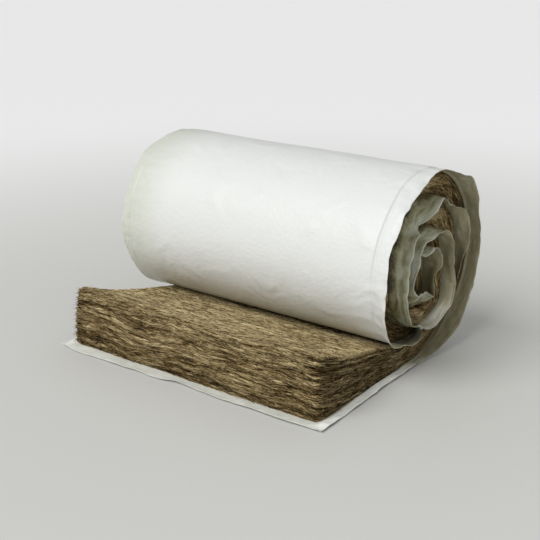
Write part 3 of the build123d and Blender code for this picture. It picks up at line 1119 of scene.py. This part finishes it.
def film_creases(tree, sheet, loose):
    """Heights of soft creases all over, of pleats along the winding, and of the loose tabs' crumple."""
    creases = add_node(tree, "ShaderNodeTexNoise", {"noise_type": "RIDGED_MULTIFRACTAL"}, Vector=sheet,
                       Scale=1000 / CREASE_MM, Detail=2.0, Distortion=1.0).outputs["Fac"]
    fine = add_node(tree, "ShaderNodeTexNoise", Vector=sheet, Scale=1000 / FINE_CREASE_MM,
                    Detail=2.0).outputs["Fac"]
    relief = add_node(tree, "ShaderNodeMath", {"operation": "MULTIPLY_ADD"},
                      _0=fine, _1=0.25, _2=creases).outputs[0]
    pleated = add_node(tree, "ShaderNodeMapping", Vector=sheet,
                       Scale=(1000 / PLEAT_MM, 1000 / PLEAT_LENGTH_MM, 1.0)).outputs["Vector"]
    pleats = add_node(tree, "ShaderNodeTexNoise", Vector=pleated, Scale=1.0, Detail=3.0,
                      Distortion=0.5).outputs["Fac"]
    folds = add_node(tree, "ShaderNodeTexVoronoi", Vector=sheet, Scale=1000 / FACET_MM).outputs["Distance"]
    crumple = add_node(tree, "ShaderNodeMath", {"operation": "MULTIPLY_ADD"},
                       _0=folds, _1=0.8, _2=pleats).outputs[0]
    crumple = add_node(tree, "ShaderNodeMath", {"operation": "MULTIPLY"}, _0=crumple, _1=loose).outputs[0]
    return relief, pleats, crumple


# %% Draw the film's stains and painted shade
BLOTCH_MM = 30.0
FILM_STAIN_AND_SHADE_COLOURS = ["#e2e4e1", "#bfc3ae", "#a19f80", "#76704c", "#3c351f"]  # from clean, through stained, to the darkest painted shade beside the wool
# clean paper, and paper stained and painted darker as shade inside the roll
PAPER_STAIN_AND_SHADE_COLOURS = ["#f0f2ea", "#a8a384"]


def film_stains_and_shade(tree, sheet, soil_and_shade, pleats, stain_and_shade_colours):
    """Blotchy stain and painted shade, gathered along pleats where there is any, and the blotches' strength.
    """
    blotches = add_node(tree, "ShaderNodeTexNoise", Vector=sheet, Scale=1000 / BLOTCH_MM, Detail=4.0,
                        Roughness=0.7).outputs["Fac"]
    uneven = add_node(tree, "ShaderNodeMapRange", Value=blotches, From_Min=0.3, From_Max=0.7,
                      To_Min=0.82, To_Max=1.18).outputs[0]
    gathered = add_node(tree, "ShaderNodeMapRange", Value=pleats, From_Min=0.35, From_Max=0.65,
                        To_Min=-0.14, To_Max=0.28).outputs[0]
    stained_and_shaded = add_node(tree, "ShaderNodeMath", {"operation": "MULTIPLY_ADD", "use_clamp": True},
                       _0=soil_and_shade, _1=6.0, _2=-0.9).outputs[0]
    gathered = add_node(tree, "ShaderNodeMath", {"operation": "MULTIPLY"}, _0=gathered, _1=stained_and_shaded).outputs[0]
    amount = add_node(tree, "ShaderNodeMath", {"operation": "MULTIPLY_ADD", "use_clamp": True},
                      _0=soil_and_shade, _1=uneven, _2=gathered).outputs[0]
    ramp = add_node(tree, "ShaderNodeValToRGB", Fac=amount)
    set_colours(ramp, [(number / (len(stain_and_shade_colours) - 1), stain_and_shade) for number, stain_and_shade in enumerate(stain_and_shade_colours)])
    return ramp.outputs["Color"], uneven


# %% Make the facing's two sides
CREASE_BUMP = 12.0 * MM
PLEAT_BUMP = 10.0 * MM
PAINTED_RIM_FROM = 0.94  # the last of a tab's width, painted paler as the light let through the thin film
PAINTED_EDGE_LIGHT = "#f2f4ee"


def facing_material(name, stain_and_shade_colours, where, roughness, glow):
    """Film or paper, stained and painted with shade where that attribute says, with a painted pale rim."""
    material, tree = new_material(name)
    sheet = add_node(tree, "ShaderNodeAttribute", {"attribute_name": "sheet"}).outputs["Vector"]
    loose = add_node(tree, "ShaderNodeAttribute", {"attribute_name": "loose"}).outputs["Fac"]
    soil_and_shade = add_node(tree, "ShaderNodeAttribute", {"attribute_name": where}).outputs["Fac"]
    relief, pleats, crumple = film_creases(tree, sheet, loose)
    colour, uneven = film_stains_and_shade(tree, sheet, soil_and_shade, pleats, stain_and_shade_colours)

    # A pale rim of painted light, as light comes through. Inputs 6 and 7 of the Mix node are its two colours
    rim = add_node(tree, "ShaderNodeMapRange", Value=loose, From_Min=PAINTED_RIM_FROM, From_Max=1.0,
                   To_Min=0.0, To_Max=glow).outputs[0]
    rim = add_node(tree, "ShaderNodeMath", {"operation": "MULTIPLY"}, _0=rim, _1=uneven).outputs[0]
    edged = add_node(tree, "ShaderNodeMix", {"data_type": "RGBA"}, Factor=rim,
                     _6=colour, _7=linear(PAINTED_EDGE_LIGHT)).outputs[2]

    bump = add_node(tree, "ShaderNodeBump", Height=relief, Strength=0.6, Distance=CREASE_BUMP)
    bump = add_node(tree, "ShaderNodeBump", Height=crumple, Strength=0.6, Distance=PLEAT_BUMP,
                    Normal=bump.outputs["Normal"])
    surface = add_node(tree, "ShaderNodeBsdfPrincipled", Base_Color=edged, Roughness=roughness,
                       Specular_IOR_Level=0.4, Normal=bump.outputs["Normal"])
    add_node(tree, "ShaderNodeOutputMaterial", Surface=surface.outputs["BSDF"])
    print(name, len(tree.nodes), "nodes")
    return material


film = facing_material("white_facing_film", FILM_STAIN_AND_SHADE_COLOURS, "stain_and_shade_front", roughness=0.38, glow=0.5)
paper = facing_material("facing_paper_back", PAPER_STAIN_AND_SHADE_COLOURS, "stain_and_shade_back", roughness=0.7, glow=0.1)
facing_film.data.materials.append(film)
facing_film.data.materials.append(paper)

# %% [markdown]
# ## Floor, light and camera
#
# A pale floor that runs on past the edge of the picture shows the outline without a horizon. It is painted
# lighter away from the roll, as light falls on a studio sweep. The light is one large soft lamp above and in
# front, a little to the left, with an even glow all round. The camera stands where the photograph's did,
# found from the corners and edges of the roll.

# %% Lay the floor
FLOOR_DROP = 0.8 * MM  # below the facing, so that the two don't share a plane
FLOOR_REACH = 60.0
FADE_FROM = 0.8  # metres from the middle
FADE_TO = 5.0
NEAR_FLOOR = "#d2d2ce"
# painted light: the floor far from the roll is painted lighter
FAR_FLOOR_PAINTED_LIGHT = "#fafafa"

floor_net = bmesh.new()
bmesh.ops.create_grid(floor_net, x_segments=1, y_segments=1, size=FLOOR_REACH)
bmesh.ops.translate(floor_net, verts=floor_net.verts[:], vec=(0.0, 0.0, -FLOOR_DROP))
floor = bpy.data.objects.new("floor", mesh_from(floor_net, "floor"))
bpy.context.scene.collection.objects.link(floor)
floor_material, tree = new_material("studio_floor")
place = add_node(tree, "ShaderNodeTexCoord").outputs["Object"]
distance = add_node(tree, "ShaderNodeVectorMath", {"operation": "LENGTH"}, _0=place).outputs["Value"]
painted_light_fade = add_node(tree, "ShaderNodeMapRange", {"interpolation_type": "SMOOTHSTEP"}, Value=distance,
                From_Min=FADE_FROM, From_Max=FADE_TO).outputs[0]
colour = add_node(tree, "ShaderNodeMix", {"data_type": "RGBA"}, Factor=painted_light_fade,
                  _6=linear(NEAR_FLOOR), _7=linear(FAR_FLOOR_PAINTED_LIGHT)).outputs[2]
surface = add_node(tree, "ShaderNodeBsdfPrincipled", Base_Color=colour, Roughness=0.6)
add_node(tree, "ShaderNodeOutputMaterial", Surface=surface.outputs["BSDF"])
floor.data.materials.append(floor_material)
print("floor", 2 * FLOOR_REACH, "m wide")

# %% Set the light
GLOW = 0.42
SUN_FROM = (-0.22, -1.0, 1.05)  # in front, slightly left, above
SUN_ENERGY = 2.1
SUN_SIZE = math.radians(45.0)  # so large that its shadows are soft

world = bpy.data.worlds.new("studio glow")
world.use_nodes = True
world.node_tree.nodes["Background"].inputs["Color"].default_value = (1.0, 1.0, 1.0, 1.0)
world.node_tree.nodes["Background"].inputs["Strength"].default_value = GLOW
bpy.context.scene.world = world
sun_data = bpy.data.lights.new("window light", "SUN")
sun_data.energy = SUN_ENERGY
sun_data.angle = SUN_SIZE
sun = bpy.data.objects.new("window light", sun_data)
sun.rotation_euler = Vector(SUN_FROM).to_track_quat("Z", "Y").to_euler()
bpy.context.scene.collection.objects.link(sun)
print("sun from", [round(part, 2) for part in Vector(SUN_FROM).normalized()])

# %% Place the camera
AZIMUTH = 37.84  # degrees
ELEVATION = 18.39  # degrees
DISTANCE = 4.601
TARGET = (0.0, 0.058, 0.290)
IMAGE = 540  # pixels
FOCAL = 1131.9  # pixels
OPTICAL_AXIS = (278.8, 271.2)  # pixels

camera_data = bpy.data.cameras.new("camera")
camera_data.sensor_width = 36.0
camera_data.lens = FOCAL / IMAGE * camera_data.sensor_width
camera_data.shift_x = (IMAGE / 2 - OPTICAL_AXIS[0]) / IMAGE
camera_data.shift_y = (OPTICAL_AXIS[1] - IMAGE / 2) / IMAGE
camera = bpy.data.objects.new("camera", camera_data)
turn, tilt = math.radians(AZIMUTH), math.radians(ELEVATION)
backwards = Vector((math.sin(turn) * math.cos(tilt), -math.cos(turn) * math.cos(tilt), math.sin(tilt)))
camera.location = Vector(TARGET) + backwards * DISTANCE
camera.rotation_euler = backwards.to_track_quat("Z", "Y").to_euler()
bpy.context.scene.collection.objects.link(camera)
bpy.context.scene.camera = camera
bpy.context.scene.view_settings.view_transform = "Standard"
print("camera", [round(part, 3) for part in camera.location], f"{camera_data.lens:.1f} mm")
